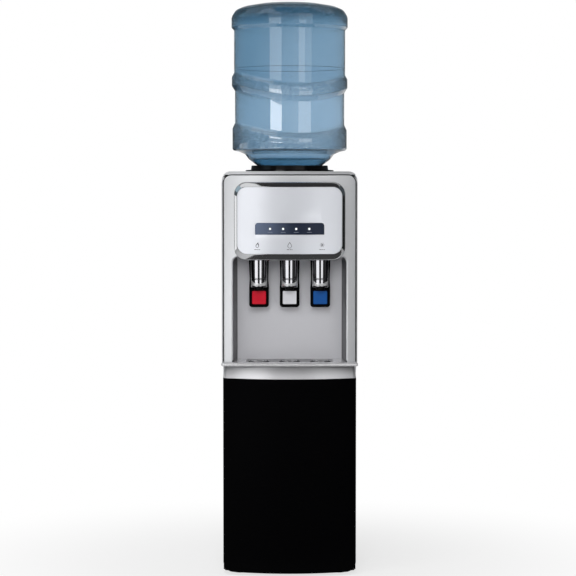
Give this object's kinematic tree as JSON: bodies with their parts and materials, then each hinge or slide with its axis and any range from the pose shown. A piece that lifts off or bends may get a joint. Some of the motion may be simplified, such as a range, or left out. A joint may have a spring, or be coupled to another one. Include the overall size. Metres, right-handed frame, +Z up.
{
  "type": "top-loading water dispenser",
  "caption": "Floor-standing water dispenser: slim cabinet with an inverted bottle on top, a control pod, push-lever taps in a cup bay and a drip tray.",
  "frame": {"origin": "on the floor under the middle of the whole dispenser", "axes": "+Z up, front faces -Y, X runs across the front with the cold tap on +X"},
  "size_m": [0.316, 0.3496, 1.3349],
  "materials": {
    "cabinet_black": "satin black moulding",
    "side_silver": "painted silver grey",
    "rear_sheet": "zinc grey sheet",
    "silver_plastic": "metallic silver paint",
    "bay_grey": "satin grey",
    "tray_silver": "metallic silver paint",
    "bezel_chrome": "bright plated plastic",
    "pod_silver": "glossy brushed silver",
    "window_dark": "dark tinted",
    "lamp_white": "clear white light guide",
    "board_green": "circuit board",
    "tap_chrome": "bright plated plastic",
    "tap_black": "satin black",
    "lever_black": "gloss black",
    "badge_red": "gloss red",
    "badge_white": "gloss white",
    "badge_blue": "gloss blue",
    "stem_white": "natural white",
    "steel": "stainless",
    "seat_black": "satin black",
    "bottle_blue": "clear blue polycarbonate",
    "tank_white": "natural white",
    "foam": "moulded foam",
    "shelf_steel": "zinc plated",
    "copper_tube": "drawn copper",
    "hose_clear": "translucent silicone",
    "machine_black": "black enamel",
    "rubber_black": "matte black",
    "service_white": "white",
    "switch_black": "satin black",
    "rocker_red": "gloss red",
    "rocker_green": "gloss green"
  },
  "bodies": {
    "cabinet": {"baffle_plate": "tank_white", "band_heater": "steel", "base_pan": "cabinet_black", "bay_liner": "bay_grey", "bottle_seat": "seat_black", "cold_tank": "steel", "cold_tank_jacket": "foam", "cold_tank_shelf": "shelf_steel", "compressor": "machine_black", "compressor_mounts": "rubber_black", "condenser": "machine_black", "cord_gland": "rubber_black", "drain_spout": "service_white", "evaporator_coil": "copper_tube", "feed_probe": "stem_white", "feet": "rubber_black", "front_fascia": "silver_plastic", "hot_tank": "steel", "hot_tank_jacket": "foam", "hot_tank_shelf": "shelf_steel", "indicator_board": "board_green", "indicator_lenses": "lamp_white", "indicator_window": "window_dark", "lever_pins": "steel", "lower_front_panel": "cabinet_black", "panel_screws": "steel", "pod_bezel": "bezel_chrome", "pod_face": "pod_silver", "rear_panel": "rear_sheet", "refrigerant_lines": "copper_tube", "side_panel_left": "side_silver", "side_panel_right": "side_silver", "spring_cold": "steel", "spring_hot": "steel", "spring_room": "steel", "switch_frame": "switch_black", "tap_body_cold": "tap_black", "tap_body_hot": "tap_black", "tap_body_room": "tap_black", "tap_cap_cold": "tap_chrome", "tap_cap_hot": "tap_chrome", "tap_cap_room": "tap_chrome", "top_cover": "silver_plastic", "tray_shelf": "silver_plastic", "water_hoses": "hose_clear"},
    "lever_hot": {"lever_hot": "lever_black", "badge_hot": "badge_red"},
    "stem_hot": {"stem_hot": "stem_white"},
    "lever_room": {"lever_room": "lever_black", "badge_room": "badge_white"},
    "stem_room": {"stem_room": "stem_white"},
    "lever_cold": {"lever_cold": "lever_black", "badge_cold": "badge_blue"},
    "stem_cold": {"stem_cold": "stem_white"},
    "bottle": {"bottle": "bottle_blue"},
    "drip_tray": {"drip_tray": "tray_silver"},
    "drip_grille": {"drip_grille": "tray_silver"},
    "rocker_hot": {"rocker_hot": "rocker_red"},
    "rocker_cold": {"rocker_cold": "rocker_green"},
    "drain_plug": {"drain_plug": "service_white"}
  },
  "joints": [
    {"name": "lever_hot_push", "type": "hinge", "parent": "cabinet", "child": "lever_hot", "pos_m": [-0.0715, -0.117, 0.775], "axis": [1, 0, 0], "range_deg": [0, 10], "stiffness_Nm_per_rad": 0.4, "springref_deg": -8.59},
    {"name": "stem_hot_lift", "type": "slide", "parent": "cabinet", "child": "stem_hot", "axis": [0, 0, 1], "range_m": [0, 0.002], "deforming": ["spring_hot"]},
    {"name": "lever_room_push", "type": "hinge", "parent": "cabinet", "child": "lever_room", "pos_m": [0, -0.117, 0.775], "axis": [1, 0, 0], "range_deg": [0, 10], "stiffness_Nm_per_rad": 0.4, "springref_deg": -8.59},
    {"name": "stem_room_lift", "type": "slide", "parent": "cabinet", "child": "stem_room", "axis": [0, 0, 1], "range_m": [0, 0.002], "deforming": ["spring_room"]},
    {"name": "lever_cold_push", "type": "hinge", "parent": "cabinet", "child": "lever_cold", "pos_m": [0.0715, -0.117, 0.775], "axis": [1, 0, 0], "range_deg": [0, 10], "stiffness_Nm_per_rad": 0.4, "springref_deg": -8.59},
    {"name": "stem_cold_lift", "type": "slide", "parent": "cabinet", "child": "stem_cold", "axis": [0, 0, 1], "range_m": [0, 0.002], "deforming": ["spring_cold"]},
    {"name": "bottle_lift", "type": "slide", "parent": "cabinet", "child": "bottle", "axis": [0, 0, 1], "range_m": [0, 0.2]},
    {"name": "tray_lift", "type": "slide", "parent": "cabinet", "child": "drip_tray", "axis": [0, 0, 1], "range_m": [0, 0.08]},
    {"name": "grille_lift", "type": "slide", "parent": "drip_tray", "child": "drip_grille", "axis": [0, 0, 1], "range_m": [0, 0.03]},
    {"name": "rocker_hot_tilt", "type": "hinge", "parent": "cabinet", "child": "rocker_hot", "pos_m": [-0.108, 0.146, 0.806], "axis": [1, 0, 0], "range_deg": [0, 16]},
    {"name": "rocker_cold_tilt", "type": "hinge", "parent": "cabinet", "child": "rocker_cold", "pos_m": [-0.082, 0.146, 0.806], "axis": [1, 0, 0], "range_deg": [0, 16]},
    {"name": "drain_plug_turn", "type": "hinge", "parent": "cabinet", "child": "drain_plug", "pos_m": [0.02, 0.156, 0.185], "axis": [0, 1, 0], "continuous": true}
  ],
  "couplings": [
    {"joint": "stem_hot_lift", "follows": "lever_hot_push", "m_per_rad": 0.011},
    {"joint": "stem_room_lift", "follows": "lever_room_push", "m_per_rad": 0.011},
    {"joint": "stem_cold_lift", "follows": "lever_cold_push", "m_per_rad": 0.011}
  ]
}
